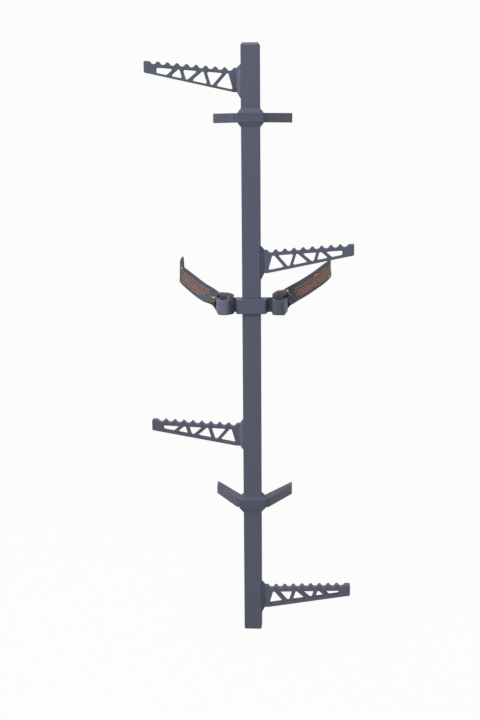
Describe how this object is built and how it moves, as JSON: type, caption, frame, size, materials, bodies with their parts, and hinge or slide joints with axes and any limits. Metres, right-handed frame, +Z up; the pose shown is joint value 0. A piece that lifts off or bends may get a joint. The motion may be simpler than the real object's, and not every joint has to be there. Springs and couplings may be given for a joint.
{
  "type": "climbing stick",
  "caption": "Strap-on tree climbing stick: square post with scalloped truss steps on alternate sides, V brackets that bear on the trunk, and a hook bracket carrying webbing strap leads.",
  "frame": {"origin": "middle of the post's underside", "axes": "+Z up along the post, +Y towards the trunk, +X to the climber's right"},
  "size_m": [0.3396, 0.3299, 1.0066],
  "materials": {
    "post": "slate grey powder coat",
    "step": "slate grey powder coat",
    "bracket": "slate grey powder coat",
    "weld": "powder coat over weld bead",
    "cap": "satin moulded plastic",
    "webbing": "woven webbing"
  },
  "bodies": {
    "frame": {"post_tube": "post", "top_cap": "cap", "bottom_cap": "cap", "step_top_left": "step", "step_upper_right": "step", "step_lower_left": "step", "step_bottom_right": "step", "step_weld_top_left": "weld", "step_weld_upper_right": "weld", "step_weld_lower_left": "weld", "step_weld_bottom_right": "weld", "tree_bracket_upper": "bracket", "tree_bracket_lower": "bracket", "tree_bracket_weld_upper_top": "weld", "tree_bracket_weld_upper_under": "weld", "tree_bracket_weld_lower_top": "weld", "tree_bracket_weld_lower_under": "weld", "strap_bracket": "bracket", "collar_weld_left": "weld", "collar_weld_right": "weld"},
    "strap_left_lead": {"strap_left": "webbing"},
    "strap_right_lead": {"strap_right": "webbing"}
  },
  "joints": [
    {"name": "strap_left_swing", "type": "hinge", "parent": "frame", "child": "strap_left_lead", "pos_m": [-0.0419, 0.008, 0.5802], "axis": [1, 0, 0], "range_deg": [-12, 12]},
    {"name": "strap_right_swing", "type": "hinge", "parent": "frame", "child": "strap_right_lead", "pos_m": [0.044, 0.008, 0.5802], "axis": [1, 0, 0], "range_deg": [-12, 12]}
  ]
}
